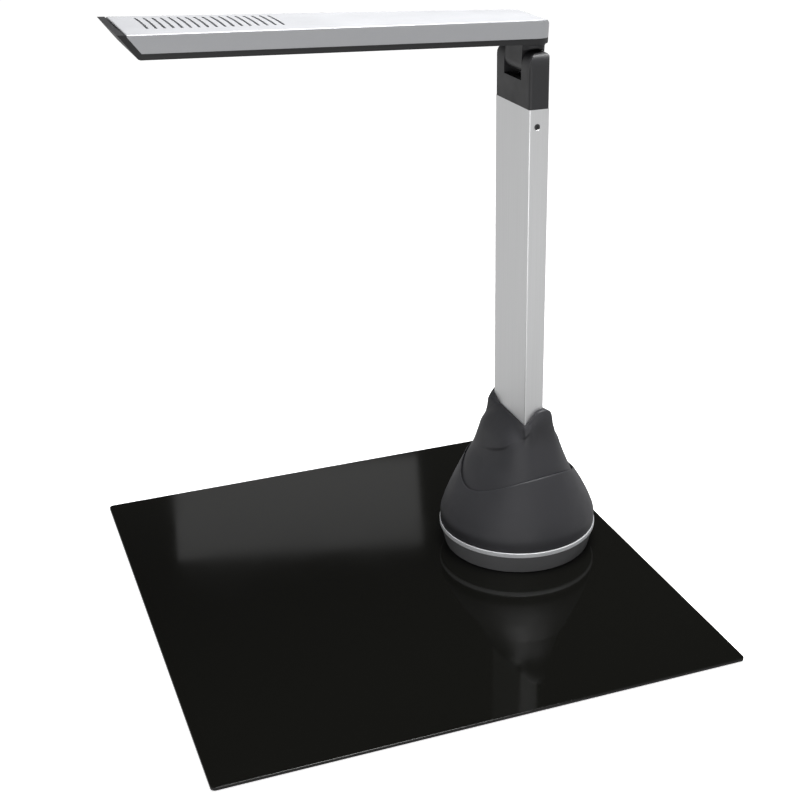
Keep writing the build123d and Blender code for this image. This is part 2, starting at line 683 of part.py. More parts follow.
with BuildPart() as arm_top_shell:
    add(arm_block(outer_plan, top_outside))
    with BuildSketch(Plane(origin=crown_plane.origin, x_dir=(0, 1, 0), z_dir=crown_plane.x_dir)):
        Circle(crown_radius)
    extrude(amount=600, both=True, mode=Mode.INTERSECT)
    top_edges = [e for e in arm_top_shell.edges() if arm_plane.to_local_coords(e.center()).Z > arm_seam + 12
                 and e.length > 12]
    fillet(top_edges, edge_round)
    with BuildSketch(arm_side):
        with BuildLine():
            Line((arm_end, arm_seam), (arm_end, crown_top - end_round))
            TangentArc((arm_end, crown_top - end_round), (arm_end - end_round, crown_top), tangent=(0, 1))
            Polyline((arm_end - end_round, crown_top), (head_top - 30, crown_top), (head_top - 30, arm_seam),
                     (arm_end, arm_seam))
        make_face()
    extrude(amount=90, both=True, mode=Mode.INTERSECT)
    add(arm_block(inner_plan, top_inside), mode=Mode.SUBTRACT)
    with BuildSketch(arm_plane.offset(arm_seam)):
        with Locations(*boss_spots):
            Circle(shell_boss)
    extrude(amount=ceiling - arm_seam + 1)
    with BuildSketch(arm_plane.offset(arm_seam)):
        with Locations(*boss_spots):
            Circle(1.2 + running_gap)
    extrude(amount=8.2, mode=Mode.SUBTRACT)
    vent_step = (vent_last - vent_first) / (vent_count - 1)
    with BuildSketch(arm_plane.offset(ceiling - 1)):
        for i in range(vent_count):
            vent_x = vent_first + i * vent_step
            with Locations((vent_x, 0)):
                SlotOverall(1.2 * arm_half_width(vent_x), vent_width, rotation=90)
    extrude(amount=8, mode=Mode.SUBTRACT)
save(arm_top_shell, "arm_top_shell")

window_radius = 11.0
bezel_radius = 15.0
led_y = 33.0
led_window_x = 46.0
led_window_y = 12.0
button_x = -296.0
button_radius = 4.5
button_travel = 0.8
small_board_floor = 4.2                      # light boards and switch, above the arm's underside
pcb_floor = 34.0                             # camera board, above the hinge axis
pcb_posts = [(camera_x + x, y) for x in (-22, 22) for y in (-18, 18)]
led_posts = [(camera_x + x, y) for x in (-25.5, 25.5) for y in (-led_y, led_y)]
switch_posts = [(button_x + x, y) for x in (-6.5, 6.5) for y in (-4.5, 4.5)]
under_chamfer = 4.0
bottom_outside = [(arm_end - under_chamfer, arm_under), (arm_end + 1, arm_seam - 0.4), (arm_end + 1, arm_seam),
                  (head_seam, arm_seam), (head_top, arm_edge), (cap_top, arm_edge),
                  (cap_under - 0.5, arm_under + 0.6), (cap_under + 1.6, arm_under)]
bottom_inside = [(arm_end + 1, arm_under + arm_wall), (arm_end + 1, arm_seam + 1),
                 (head_seam + end_wall, arm_seam + 1), (head_seam + end_wall, arm_under + arm_wall)]

with BuildPart() as arm_bottom_shell:
    add(arm_block(outer_plan, bottom_outside))
    add(arm_block(inner_plan, bottom_inside), mode=Mode.SUBTRACT)
    with BuildSketch(arm_plane.offset(arm_under)):
        with Locations(*boss_spots):
            Circle(shell_boss)
    extrude(amount=arm_seam - arm_under)
    with BuildSketch(arm_plane.offset(arm_under + 1)):
        with Locations(*pcb_posts):
            Circle(3.0)
    extrude(amount=pcb_floor - arm_under - 1)
    with BuildSketch(arm_plane.offset(pcb_floor)):
        with Locations(*pcb_posts):
            Circle(1.25 + running_gap)
    extrude(amount=-6, mode=Mode.SUBTRACT)
    with BuildSketch(arm_plane.offset(arm_under + 1)):
        with Locations(*led_posts):
            Circle(2.0)
        with Locations(*switch_posts):
            Circle(1.5)
    extrude(amount=small_board_floor - 1)
    with BuildSketch(arm_plane.offset(arm_under)):
        Rectangle(14.4, 56.4)
        with Locations((camera_x, 0)):
            Circle(window_radius + fit)
        with Locations((camera_x, led_y), (camera_x, -led_y)):
            RectangleRounded(led_window_x, led_window_y, 3)
        with Locations((button_x, 0)):
            Circle(button_radius + 0.25)
        with Locations(*boss_spots):
            Circle(1.35)
    extrude(amount=8, mode=Mode.SUBTRACT)
    with BuildSketch(arm_plane.offset(arm_under)):
        with Locations((camera_x, 0)):
            Circle(bezel_radius + fit)
        with Locations(*boss_spots):
            Circle(2.7)
    extrude(amount=1.2, mode=Mode.SUBTRACT)
save(arm_bottom_shell, "arm_bottom_shell")

shell_screw = pan_screw(1.2, 2.4, 1.0, 12.0)
with BuildPart() as shell_screws:
    for x, y in boss_spots:
        with Locations(arm_plane.location * Location((x, y, arm_under + 1.2), (180, 0, 0))):
            add(shell_screw)
save(shell_screws, "shell_screws")

frame_half = 24.5
frame_ends = (-280.0, 7.0)
frame_sheet = 1.5
frame_flange = 8.0
with BuildPart() as arm_frame:
    frame_middle = (frame_ends[0] + frame_ends[1]) / 2
    frame_length = frame_ends[1] - frame_ends[0]
    with BuildSketch(arm_plane.offset(neck_block_top)):
        with Locations((frame_middle, 0)):
            Rectangle(frame_length, 2 * frame_half)
    extrude(amount=frame_sheet)
    with BuildSketch(arm_plane.offset(neck_block_top)):
        for s in (-1, 1):
            with Locations((frame_middle, s * (frame_half - frame_sheet / 2))):
                Rectangle(frame_length, frame_sheet)
    extrude(amount=frame_flange)
    with BuildSketch(arm_plane.offset(neck_block_top)):
        with Locations(*neck_screw_spots):
            Circle(1.6)
        for x in range(-260, -20, 40):
            with Locations((x, 0)):
                SlotOverall(24, 12)
    extrude(amount=frame_sheet + 0.5, mode=Mode.SUBTRACT)
save(arm_frame, "arm_frame")

neck_screw = pan_screw(1.5, 2.8, 1.8, 8.0)
with BuildPart() as neck_screws:
    for x, y in neck_screw_spots:
        with Locations(arm_plane.location * Location((x, y, neck_block_top + frame_sheet))):
            add(neck_screw)
save(neck_screws, "neck_screws")

# ---- camera, lights and button in the head -----------------------------------------------------
with BuildPart() as camera_pcb:
    with BuildSketch(arm_plane.offset(pcb_floor)):
        with Locations((camera_x, 0)):
            RectangleRounded(52, 44, 2)
        with Locations(*pcb_posts):
            Circle(1.25 + fit, mode=Mode.SUBTRACT)
    extrude(amount=pcb_thickness)
    with BuildSketch(arm_plane.offset(pcb_floor + pcb_thickness)):
        with Locations((camera_x + 8, 4)):
            Rectangle(12, 12)
        with Locations((camera_x - 12, -8)):
            Rectangle(7, 5)
    extrude(amount=1.2)
save(camera_pcb, "camera_pcb")

with BuildPart() as camera_screws:
    for x, y in pcb_posts:
        with Locations(arm_plane.location * Location((x, y, pcb_floor + pcb_thickness))):
            add(pcb_screw)
save(camera_screws, "camera_screws")

with BuildPart() as image_sensor:
    with BuildSketch(arm_plane.offset(pcb_floor)):
        with Locations((camera_x, 0)):
            Rectangle(10, 10)
    extrude(amount=-1.6)
save(image_sensor, "image_sensor")

lens_tip = arm_under + 2.4
with BuildPart() as lens_holder:
    with BuildSketch(arm_plane.offset(pcb_floor)):
        with Locations((camera_x, 0)):
            RectangleRounded(20, 20, 2)
            Rectangle(11, 11, mode=Mode.SUBTRACT)
    extrude(amount=-2.2)
    with BuildSketch(arm_plane.offset(pcb_floor - 2.2)):
        with Locations((camera_x, 0)):
            Circle(9)
            Circle(7 + running_gap, mode=Mode.SUBTRACT)
    extrude(amount=-4.8)
save(lens_holder, "lens_holder")

with BuildPart() as lens_barrel:
    with BuildSketch(arm_plane.offset(pcb_floor - 2.4)):
        with Locations((camera_x, 0)):
            Circle(7)
            Circle(4.5, mode=Mode.SUBTRACT)
    extrude(amount=-(pcb_floor - 2.4 - lens_tip))
save(lens_barrel, "lens_barrel")

lens_radius = 4.45
lens_bulge = 7.0                             # radius of the front lens's outer face
with BuildPart() as lens_shape:
    with Locations((0, 0, -2.6)):
        Cylinder(lens_radius, 4.2, align=(Align.CENTER, Align.CENTER, Align.MIN))
    with Locations((0, 0, lens_bulge - 2.6)):
        Sphere(lens_bulge, mode=Mode.INTERSECT)

with BuildPart() as lens_glass:
    with Locations(arm_plane.location * Location((camera_x, 0, lens_tip + 4.2))):
        add(lens_shape.part)
save(lens_glass, "lens_glass")

with BuildPart() as lens_window:
    with BuildSketch(arm_plane.offset(arm_under + 0.9)):
        with Locations((camera_x, 0)):
            Circle(window_radius)
    extrude(amount=1.2)
save(lens_window, "lens_window")

with BuildPart() as lens_bezel:
    with BuildSketch(arm_plane.offset(arm_under - 0.6)):
        with Locations((camera_x, 0)):
            Circle(bezel_radius)
            Circle(window_radius - 1.2, mode=Mode.SUBTRACT)
    extrude(amount=1.4)
save(lens_bezel, "lens_bezel")

with BuildPart() as led_windows:
    with BuildSketch(arm_plane.offset(arm_under + 0.2)):
        with Locations((camera_x, led_y), (camera_x, -led_y)):
            RectangleRounded(led_window_x - 0.2, led_window_y - 0.2, 2.9)
    extrude(amount=1.6)
save(led_windows, "led_windows")

with BuildPart() as led_boards:
    with BuildSketch(arm_plane.offset(arm_under + small_board_floor)):
        with Locations((camera_x, led_y), (camera_x, -led_y)):
            Rectangle(led_window_x + 10, led_window_y + 3)
    extrude(amount=1.2)
save(led_boards, "led_boards")

led_spots = [(camera_x + x, s * led_y) for x in (-16.5, -5.5, 5.5, 16.5) for s in (-1, 1)]
with BuildPart() as leds:
    with BuildSketch(arm_plane.offset(arm_under + small_board_floor)):
        with Locations(*led_spots):
            Rectangle(3.5, 2.8)
    extrude(amount=-0.9)
save(leds, "leds")

with BuildPart() as light_button:
    with BuildSketch(arm_plane.offset(arm_under - 1.0)):
        with Locations((button_x, 0)):
            Circle(button_radius)
    extrude(amount=4.0)
    fillet(light_button.edges().group_by(Axis.Z)[0], 0.6)
    with BuildSketch(arm_plane.offset(arm_under + arm_wall + 0.1)):
        with Locations((button_x, 0)):
            Circle(button_radius + 1.2)
    extrude(amount=0.7)
save(light_button, "light_button")

with BuildPart() as button_switch:
    with BuildSketch(arm_plane.offset(arm_under + small_board_floor)):
        with Locations((button_x, 0)):
            Rectangle(16, 12)
    extrude(amount=1.2)
    button_top = arm_under + 3.0
    with BuildSketch(arm_plane.offset(button_top + button_travel + 0.1)):
        with Locations((button_x, 0)):
            Circle(2.0)
    extrude(amount=small_board_floor - 3.0 - button_travel)
save(button_switch, "button_switch")

# ---- inner cables ------------------------------------------------------------------------------
with BuildPart() as arm_cable:
    on_frame = neck_block_top + frame_sheet + 0.1
    on_board = pcb_floor + pcb_thickness + 0.05
    ribbon = 0.9
    low = [(-6, on_frame), (-262, on_frame), (-300, on_board), (camera_x + 20, on_board)]
    high = [(x, z + ribbon) for x, z in reversed(low)]
    extrude(arm_profile(low + high), amount=4, both=True)
save(arm_cable, "arm_cable")

with BuildPart() as column_cable:
    with BuildLine() as route:
        FilletPolyline((56, 0, pcb_z + 6), (56, 0, base_z + 56), (28, 0, base_z + cable_port_z),
                       (0, 0, base_z + cable_port_z), (0, 0, base_z + 440), radius=8.5)
    with BuildSketch(Plane(origin=route.line @ 0, z_dir=route.line % 0)):
        Circle(1.8)
    sweep()
save(column_cable, "column_cable")
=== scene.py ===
import json
from math import atan2, cos, pi, radians, sin
import bpy
import numpy as np
from mathutils import Matrix, Vector


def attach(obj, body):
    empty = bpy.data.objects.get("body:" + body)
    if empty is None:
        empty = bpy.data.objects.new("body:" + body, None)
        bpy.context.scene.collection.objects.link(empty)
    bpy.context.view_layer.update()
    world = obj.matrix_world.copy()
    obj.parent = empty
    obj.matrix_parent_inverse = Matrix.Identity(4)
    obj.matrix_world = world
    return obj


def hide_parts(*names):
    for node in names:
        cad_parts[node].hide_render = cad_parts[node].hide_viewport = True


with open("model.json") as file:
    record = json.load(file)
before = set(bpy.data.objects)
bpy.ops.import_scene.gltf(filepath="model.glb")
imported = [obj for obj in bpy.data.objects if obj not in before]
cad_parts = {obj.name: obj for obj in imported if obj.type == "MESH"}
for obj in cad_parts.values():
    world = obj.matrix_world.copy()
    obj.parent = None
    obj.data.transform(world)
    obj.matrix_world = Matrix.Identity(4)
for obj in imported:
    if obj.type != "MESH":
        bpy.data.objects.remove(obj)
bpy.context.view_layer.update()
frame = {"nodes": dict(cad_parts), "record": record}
nodes = frame["nodes"]
MM = 0.001
DECK = 4.5                               # height of the board's upper face, in millimetres


# ---- camera -----------------------------------------------------------------------------------
def add_camera():
    bpy.context.scene.view_settings.view_transform = "Standard"
    yaw, pitch, roll = radians(19.18), radians(24.2), radians(-1.40)
    forward = Vector((sin(yaw) * cos(pitch), cos(yaw) * cos(pitch), -sin(pitch)))
    right = Vector((cos(yaw), -sin(yaw), 0))
    up = right.cross(forward)
    image_right = right * cos(roll) + up * sin(roll)
    image_up = -right * sin(roll) + up * cos(roll)
    spot = Vector((-593, -1304, 822.5)) * MM
    camera = bpy.data.objects.new("camera", bpy.data.cameras.new("camera"))
    bpy.context.scene.collection.objects.link(camera)
    turn = Matrix((image_right, image_up, -forward)).transposed().to_4x4()
    camera.matrix_world = Matrix.Translation(spot) @ turn
    camera.data.sensor_width = 36
    camera.data.lens = 63.135
    camera.data.clip_start = 0.01
    bpy.context.scene.camera = camera


# ---- light ------------------------------------------------------------------------------------
# The studio round the object: height of a direction from -1, straight down, to 1, and its brightness.
STUDIO = ((-1.0, 0.60), (-0.05, 0.60), (0.05, 0.3), (0.3, 0.04), (0.62, 0.04), (0.95, 0.5))
FLOOR_GLOW = 0.85                        # how bright the floor stays in full shadow
FLOOR_REACH = 30.0                       # half the floor's side, in metres
FLOOR_GAP = 0.3                          # the floor lies this far below the pads, in millimetres


def split_by_ray(tree, out, to_camera, to_rest):
    """Show one shader to the camera and another to everything else."""
    path = tree.nodes.new("ShaderNodeLightPath")
    mix = tree.nodes.new("ShaderNodeMixShader")
    tree.links.new(path.outputs["Is Camera Ray"], mix.inputs[0])
    tree.links.new(to_rest.outputs[0], mix.inputs[1])
    tree.links.new(to_camera.outputs[0], mix.inputs[2])
    tree.links.new(mix.outputs[0], out.inputs["Surface"])


def add_world():
    """White to the camera; to everything else a studio lit from overhead and from a pale floor."""
    world = bpy.data.worlds.new("studio")
    bpy.context.scene.world = world
    world.use_nodes = True
    tree = world.node_tree
    tree.nodes.clear()
    out = tree.nodes.new("ShaderNodeOutputWorld")
    coords = tree.nodes.new("ShaderNodeTexCoord")
    split = tree.nodes.new("ShaderNodeSeparateXYZ")
    height = tree.nodes.new("ShaderNodeMapRange")
    height.inputs["From Min"].default_value = -1
    ramp = tree.nodes.new("ShaderNodeValToRGB")
    while len(ramp.color_ramp.elements) < len(STUDIO):
        ramp.color_ramp.elements.new(0.5)
    for element, (position, level) in zip(ramp.color_ramp.elements, STUDIO):
        element.position = (position + 1) / 2
        element.color = (level, level, level, 1)
    studio = tree.nodes.new("ShaderNodeBackground")
    white = tree.nodes.new("ShaderNodeBackground")
    white.inputs["Color"].default_value = (1, 1, 1, 1)
    tree.links.new(coords.outputs["Generated"], split.inputs[0])
    tree.links.new(split.outputs["Z"], height.inputs["Value"])
    tree.links.new(height.outputs[0], ramp.inputs[0])
    tree.links.new(ramp.outputs[0], studio.inputs["Color"])
    split_by_ray(tree, out, white, studio)


def add_floor():
    """A plain pale floor: white with a soft shadow to the camera, STUDIO's lower half to the rest."""
    corners = [(x * FLOOR_REACH, y * FLOOR_REACH, -FLOOR_GAP * MM)
               for x, y in ((-1, -1), (1, -1), (1, 1), (-1, 1))]
    mesh = bpy.data.meshes.new("floor")
    mesh.from_pydata(corners, [], [(0, 1, 2, 3)])
    floor = bpy.data.objects.new("floor", mesh)
    bpy.context.scene.collection.objects.link(floor)
    material = bpy.data.materials.new("floor_white")
    material.use_nodes = True
    tree = material.node_tree
    tree.nodes.clear()
    out = tree.nodes.new("ShaderNodeOutputMaterial")
    bounce = tree.nodes.new("ShaderNodeEmission")
    bounce.inputs["Strength"].default_value = STUDIO[0][1]
    glow = tree.nodes.new("ShaderNodeEmission")
    glow.inputs["Strength"].default_value = FLOOR_GLOW
    lit = tree.nodes.new("ShaderNodeBsdfDiffuse")
    both = tree.nodes.new("ShaderNodeAddShader")
    tree.links.new(glow.outputs[0], both.inputs[0])
    tree.links.new(lit.outputs[0], both.inputs[1])
    split_by_ray(tree, out, both, bounce)
    mesh.materials.append(material)


def add_area(name, spot, aim, size, power):
    light = bpy.data.lights.new(name, "AREA")
    light.shape = "RECTANGLE"
    light.size, light.size_y = size
    light.energy = power
    holder = bpy.data.objects.new(name, light)
    bpy.context.scene.collection.objects.link(holder)
    holder.location = spot
    holder.rotation_euler = (Vector(aim) - Vector(spot)).to_track_quat("-Z", "Y").to_euler()


# ---- materials --------------------------------------------------------------------------------
NOISE_MIDDLE = (0.3, 0.7)                # most of a noise's values lie between these


class Finish:
    """One procedural material: a Principled shader with noise in colour, roughness and bump."""

    def __init__(self, name, colour, rough, metal=0.0, **sockets):
        self.material = bpy.data.materials.new(name)
        self.material.use_nodes = True
        self.tree = self.material.node_tree
        self.shader = self.tree.nodes["Principled BSDF"]
        self.colour = colour
        self.rough = rough
        self.set("Base Color", (*colour, 1))
        self.set("Roughness", rough)
        self.set("Metallic", metal)
        for key, value in sockets.items():
            self.set(key.replace("_", " "), value)
        self.height = None

    def set(self, socket, value):
        self.shader.inputs[socket].default_value = value

    def noise(self, scale, detail, stretch=(1, 1, 1)):
        coords = self.tree.nodes.new("ShaderNodeTexCoord")
        mapping = self.tree.nodes.new("ShaderNodeMapping")
        mapping.inputs["Scale"].default_value = stretch
        noise = self.tree.nodes.new("ShaderNodeTexNoise")
        noise.inputs["Scale"].default_value = scale
        noise.inputs["Detail"].default_value = detail
        self.tree.links.new(coords.outputs["Object"], mapping.inputs[0])
        self.tree.links.new(mapping.outputs[0], noise.inputs["Vector"])
        return noise.outputs[0]

    def spread(self, source, low, high):
        """Remap a noise's middle range to low..high."""
        remap = self.tree.nodes.new("ShaderNodeMapRange")
        remap.inputs["From Min"].default_value = NOISE_MIDDLE[0]
        remap.inputs["From Max"].default_value = NOISE_MIDDLE[1]
        remap.inputs["To Min"].default_value = low
        remap.inputs["To Max"].default_value = high
        self.tree.links.new(source, remap.inputs["Value"])
        return remap.outputs[0]

    def vary_rough(self, source, amount):
        self.tree.links.new(self.spread(source, self.rough - amount, self.rough + amount),
                            self.shader.inputs["Roughness"])

    def vary_colour(self, source, amount):
        mix = self.tree.nodes.new("ShaderNodeMix")
        mix.data_type = "RGBA"
        mix.inputs["A"].default_value = (*[max(0.0, c * (1 - amount)) for c in self.colour], 1)
        mix.inputs["B"].default_value = (*[min(1.0, c * (1 + amount)) for c in self.colour], 1)
        self.tree.links.new(self.spread(source, 0, 1), mix.inputs["Factor"])
        self.tree.links.new(mix.outputs["Result"], self.shader.inputs["Base Color"])

    def bump(self, source, strength, distance):
        node = self.tree.nodes.new("ShaderNodeBump")
        node.inputs["Strength"].default_value = strength
        node.inputs["Distance"].default_value = distance
        self.tree.links.new(source, node.inputs["Height"])
        if self.height is not None:
            self.tree.links.new(self.height, node.inputs["Normal"])
        self.height = node.outputs[0]
        self.tree.links.new(self.height, self.shader.inputs["Normal"])


def moulded(name, colour, rough, grain=2600, depth=0.00006, **sockets):
    """Moulded plastic: fine erosion grain and faint unevenness in its sheen."""
    finish = Finish(name, colour, rough, **sockets)
    finish.bump(finish.noise(grain, 2.0), 0.5, depth)
    finish.vary_rough(finish.noise(45, 3.0), 0.05)
    finish.vary_colour(finish.noise(12, 4.0), 0.05)
    return finish.material


def metal(name, colour, rough, stretch=(1, 1, 1), scale=400, depth=0.00002, vary=0.05):
    """Bare metal with a drawn or machined grain along the axis whose stretch is small."""
    finish = Finish(name, colour, rough, 1.0)
    streak = finish.noise(scale, 4.0, stretch)
    finish.bump(streak, 0.4, depth)
    finish.vary_rough(streak, 0.06)
    finish.vary_colour(finish.noise(scale / 4, 5.0, stretch), vary)
    return finish.material


def paint(name, colour, rough, metallic):
    """Metallic paint: fine flakes in its colour and sheen."""
    finish = Finish(name, colour, rough, metallic)
    flakes = finish.noise(5200, 1.0)
    finish.bump(flakes, 0.25, 0.00003)
    finish.vary_rough(finish.noise(30, 3.0), 0.04)
    finish.vary_colour(flakes, 0.06)
    return finish.material


def board_finish():
    """High gloss black sheet with faint smears and dust in its shine."""
    finish = Finish("board_gloss", (0.0042, 0.0042, 0.0034), 0.075, Specular_IOR_Level=0.40)
    finish.vary_rough(finish.noise(7, 5.0), 0.02)
    finish.bump(finish.noise(3.0, 2.0), 0.08, 0.0002)
    return finish.material


def glass(name, colour, rough=0.02):
    finish = Finish(name, colour, rough, Transmission_Weight=1.0, IOR=1.5)
    finish.vary_rough(finish.noise(60, 2.0), 0.01)
    return finish.material


def make_materials():
    return {
        "board_black": board_finish(),
        "pad_rubber": moulded("pad_rubber", (0.012, 0.012, 0.012), 0.85, grain=900, depth=0.0001),
        "screw_steel": metal("screw_steel", (0.62, 0.62, 0.61), 0.28, scale=900),
        "dark_screw": metal("dark_screw", (0.10, 0.10, 0.102), 0.35, scale=900),
        "plate_steel": paint("plate_steel", (0.02, 0.02, 0.021), 0.45, metallic=0.2),
        "weight_iron": metal("weight_iron", (0.13, 0.125, 0.12), 0.6, scale=300, depth=0.0003, vary=0.2),
        "socket_alloy": metal("socket_alloy", (0.6, 0.61, 0.62), 0.4),
        "band_grey": moulded("band_grey", (0.17, 0.17, 0.175), 0.5),
        "ring_silver": paint("ring_silver", (0.82, 0.83, 0.85), 0.35, metallic=0.1),
        "base_grey": moulded("base_grey", (0.038, 0.038, 0.0425), 0.52),
        "pcb_green": moulded("pcb_green", (0.01, 0.09, 0.035), 0.35, grain=600),
        "standoff_brass": metal("standoff_brass", (0.75, 0.55, 0.25), 0.25),
        "socket_steel": metal("socket_steel", (0.65, 0.65, 0.65), 0.25),
        "column_alloy": metal("column_alloy", (0.86, 0.865, 0.87), 0.42, stretch=(1, 1, 0.012), scale=2200,
                              depth=0.000004, vary=0.02),
        "hinge_grey": moulded("hinge_grey", (0.024, 0.024, 0.026), 0.46),
        "shaft_steel": metal("shaft_steel", (0.6, 0.6, 0.6), 0.25),
        "washer_grey": moulded("washer_grey", (0.6, 0.6, 0.58), 0.5),
        "bush_bronze": metal("bush_bronze", (0.55, 0.36, 0.18), 0.35),
        "arm_silver": paint("arm_silver", (0.40, 0.405, 0.42), 0.36, metallic=0.25),
        "arm_dark": moulded("arm_dark", (0.012, 0.012, 0.013), 0.5),
        "frame_alloy": metal("frame_alloy", (0.6, 0.61, 0.62), 0.4, stretch=(0.02, 1, 1)),
        "sensor_black": moulded("sensor_black", (0.01, 0.01, 0.02), 0.1),
        "lens_black": moulded("lens_black", (0.012, 0.012, 0.012), 0.4),
        "lens_glass": glass("lens_coated", (0.75, 0.82, 0.95)),
        "window_clear": glass("window_clear", (0.95, 0.96, 0.97)),
        "diffuser_white": moulded("diffuser_white", (0.78, 0.78, 0.75), 0.35, Subsurface_Weight=0.2),
        "led_yellow": moulded("led_yellow", (0.8, 0.6, 0.12), 0.2),
        "button_grey": moulded("button_grey", (0.11, 0.11, 0.115), 0.4),
        "cable_black": moulded("cable_black", (0.012, 0.012, 0.012), 0.55),
        "ribbon_grey": moulded("ribbon_grey", (0.5, 0.5, 0.5), 0.35),
    }


def dress_nodes(materials):
    """Give every carried-over CAD node its finish, by the record's material slot."""
    for entry in frame["record"]["subparts"]:
        mesh = nodes[entry["node"]].data
        mesh.materials.clear()
        mesh.materials.append(materials[entry["material_slot"]])


# ---- base shells ------------------------------------------------------------------------------
# All of this is in millimetres, with heights above the deck.
COLUMN_X, COLUMN_Y = 11.1, 42.1          # half sizes of the hole that the column stands in
SHELL = 2.4                              # wall of the base's shells
# Sections of the outside: height, half width in X, half width in Y, squareness.
SKIRT = ((27.3, 88.0, 88.0, 2.0), (37, 88.2, 87.6, 2.0), (50, 84.0, 85.0, 2.02), (70, 74.0, 78.6, 2.09),
         (95, 58.6, 68.8, 2.29), (118, 45.6, 58.6, 2.7))
COLLAR = ((70, 71.4, 77.0, 2.09), (95, 56.6, 67.6, 2.29), (115, 44.8, 59.2, 2.66), (135, 36.4, 52.2, 3.2),
          (150, 31.0, 48.6, 3.8), (156, 29.2, 47.6, 4.1))
SKIRT_BOTTOM = 27.4                      # the skirt stands here, just above the trim ring
SEAM_TURN = 8                            # the seam's wave is turned by this many degrees
SEAM_LOW, SEAM_REACH = 82.0, 62.0        # the seam's lowest height, and a distance out from there
SEAM_RISE, SEAM_EASE = 26.0, 0.12        # its climb by that distance, and how much the climb is eased
PROUD_LEAST, PROUD_MORE = 0.35, 1.25     # how far the skirt stands out of the collar: least, and gain
PROUD_AZIMUTH = -40                      # azimuth in degrees where it stands out most
LIP = 0.8                                # radius of the skirt's rounded edge at the seam
LIP_DROP = 1.0                           # the rounding starts this far below the seam
TUCK_TOP, TUCK_FOOT = 0.3, 5.0           # the inside of the skirt faces the collar between these depths
TUCK_FADES = (24, 7)                     # heights over which the collar comes back out above the seam
COLLAR_FOOT = 4.0                        # the collar reaches this far down behind the skirt
MOUTH, STEP, THROAT = 150.0, 146.0, 140.0  # heights of the inside's corners, below the column's hole
BROW_START = 136.0                       # above this the collar turns in towards its rim
BROW_HANDLE = 0.42                       # length of that curve's handles, as a share of its height
LOBE_FOOT, LOBE_RISE = 163.0, 9.0        # where the rim starts to be a lobe, and over what height
LAND = 162.0                             # the rim's top beside the column's broad faces
RIM_EDGE, HOLE_EDGE = 0.5, 0.6           # rounding of the rim's outer edge and of its inner edge
RIM_CROWN = ((0.12, 0.0), (0.5, 0.15), (0.86, 0.0))  # share of the way in over the rim, and its lift
# Outer edge of the collar's rim, anticlockwise from the notch at the near left corner: x, y, height.
RIM = ((-12.2, -42.8, 162.0), (-9.5, -44.8, 163.0), (-6.5, -45.9, 166.0), (-3.5, -46.5, 170.3),
       (0, -46.8, 174.4), (4, -46.9, 177.2), (9.4, -46.8, 178.6), (14, -46.2, 178.4), (18.2, -44.8, 176.0),
       (20.8, -41.8, 171.8), (20.6, -36, 167.3), (17.6, -27, 164.3), (14.5, -18, 162.4), (12.6, -8, 162),
       (12.5, 10, 162), (12.5, 30, 162), (12.3, 41.3, 162), (11.6, 43.4, 162.2), (8.5, 45.0, 163.4),
       (5, 46, 166.6), (1, 46.6, 170.6), (-3, 46.7, 173.4), (-7, 46.4, 173.2), (-11, 45.6, 170.4),
       (-14.8, 43.4, 166.2), (-16.4, 38.5, 163.6), (-15, 30, 162.2), (-12.7, 20, 162), (-12.6, 0, 162),
       (-12.5, -25, 162), (-12.4, -39, 162))
# Crease where the collar's front panel overlaps its side: azimuth in degrees, height.
CREASE = ((-270, 104), (-235, 108), (-194, 118.5), (-159, 126), (-138, 132.5), (-124, 140.5), (-109, 148),
          (-97.4, 157))
CREASE_UNDER, CREASE_OVER = 0.495, 0.605  # how far the surface goes in below the crease and out above it
CREASE_FADES = (16, 26)                  # heights over which that fades, below and above
CREASE_ROOM = (8, 3)                     # least height between seam and crease, and between crease and rim
CREASE_BAND = 1.3                        # height over which the step is spread


def smooth(t):
    """Ease from 0 to 1, level at both ends."""
    t = min(max(t, 0.0), 1.0)
    return t * t * (3 - 2 * t)


def bezier(t, a, b, c, d):
    return (1 - t) ** 3 * a + 3 * t * (1 - t) ** 2 * b + 3 * t * t * (1 - t) * c + t ** 3 * d


def spline_at(table, x, column):
    """Monotone cubic through the table's rows, read at x in their first column."""
    xs = [row[0] for row in table]
    ys = [row[column] for row in table]
    k = max(0, min(len(xs) - 2, int(np.searchsorted(xs, x)) - 1))

    def slope(i):
        if i == 0 or i == len(xs) - 1:
            j = min(i, len(xs) - 2)
            return (ys[j + 1] - ys[j]) / (xs[j + 1] - xs[j])
        before = (ys[i] - ys[i - 1]) / (xs[i] - xs[i - 1])
        after = (ys[i + 1] - ys[i]) / (xs[i + 1] - xs[i])
        return 0 if before * after <= 0 else 2 * before * after / (before + after)

    h = xs[k + 1] - xs[k]
    t = (x - xs[k]) / h
    return ((1 + 2 * t) * (1 - t) ** 2 * ys[k] + t * (1 - t) ** 2 * h * slope(k)
            + t * t * (3 - 2 * t) * ys[k + 1] + t * t * (t - 1) * h * slope(k + 1))


def radius(table, azimuth, height):
    """Distance of the surface from the axis, on a superellipse section."""
    half_x = spline_at(table, height, 1)
    half_y = spline_at(table, height, 2)
    square = spline_at(table, height, 3)
    return (abs(cos(azimuth) / half_x) ** square + abs(sin(azimuth) / half_y) ** square) ** (-1 / square)


def polar(azimuth, distance, height, shift=0.0):
    """A point at a distance from the axis, moved by shift along X."""
    return (distance * cos(azimuth) + shift, distance * sin(azimuth), height)


def seam_height(azimuth):
    """The wavy seam between skirt and collar: nearly a parabola across the base."""
    height = 95.0
    for _ in range(8):                   # the seam lies on the skirt, whose radius depends on its height
        across = radius(SKIRT, azimuth, height) * sin(azimuth - radians(SEAM_TURN))
        climb = (across / SEAM_REACH) ** 2
        height = SEAM_LOW + SEAM_RISE * climb / (1 + SEAM_EASE * climb ** 2)
    return height


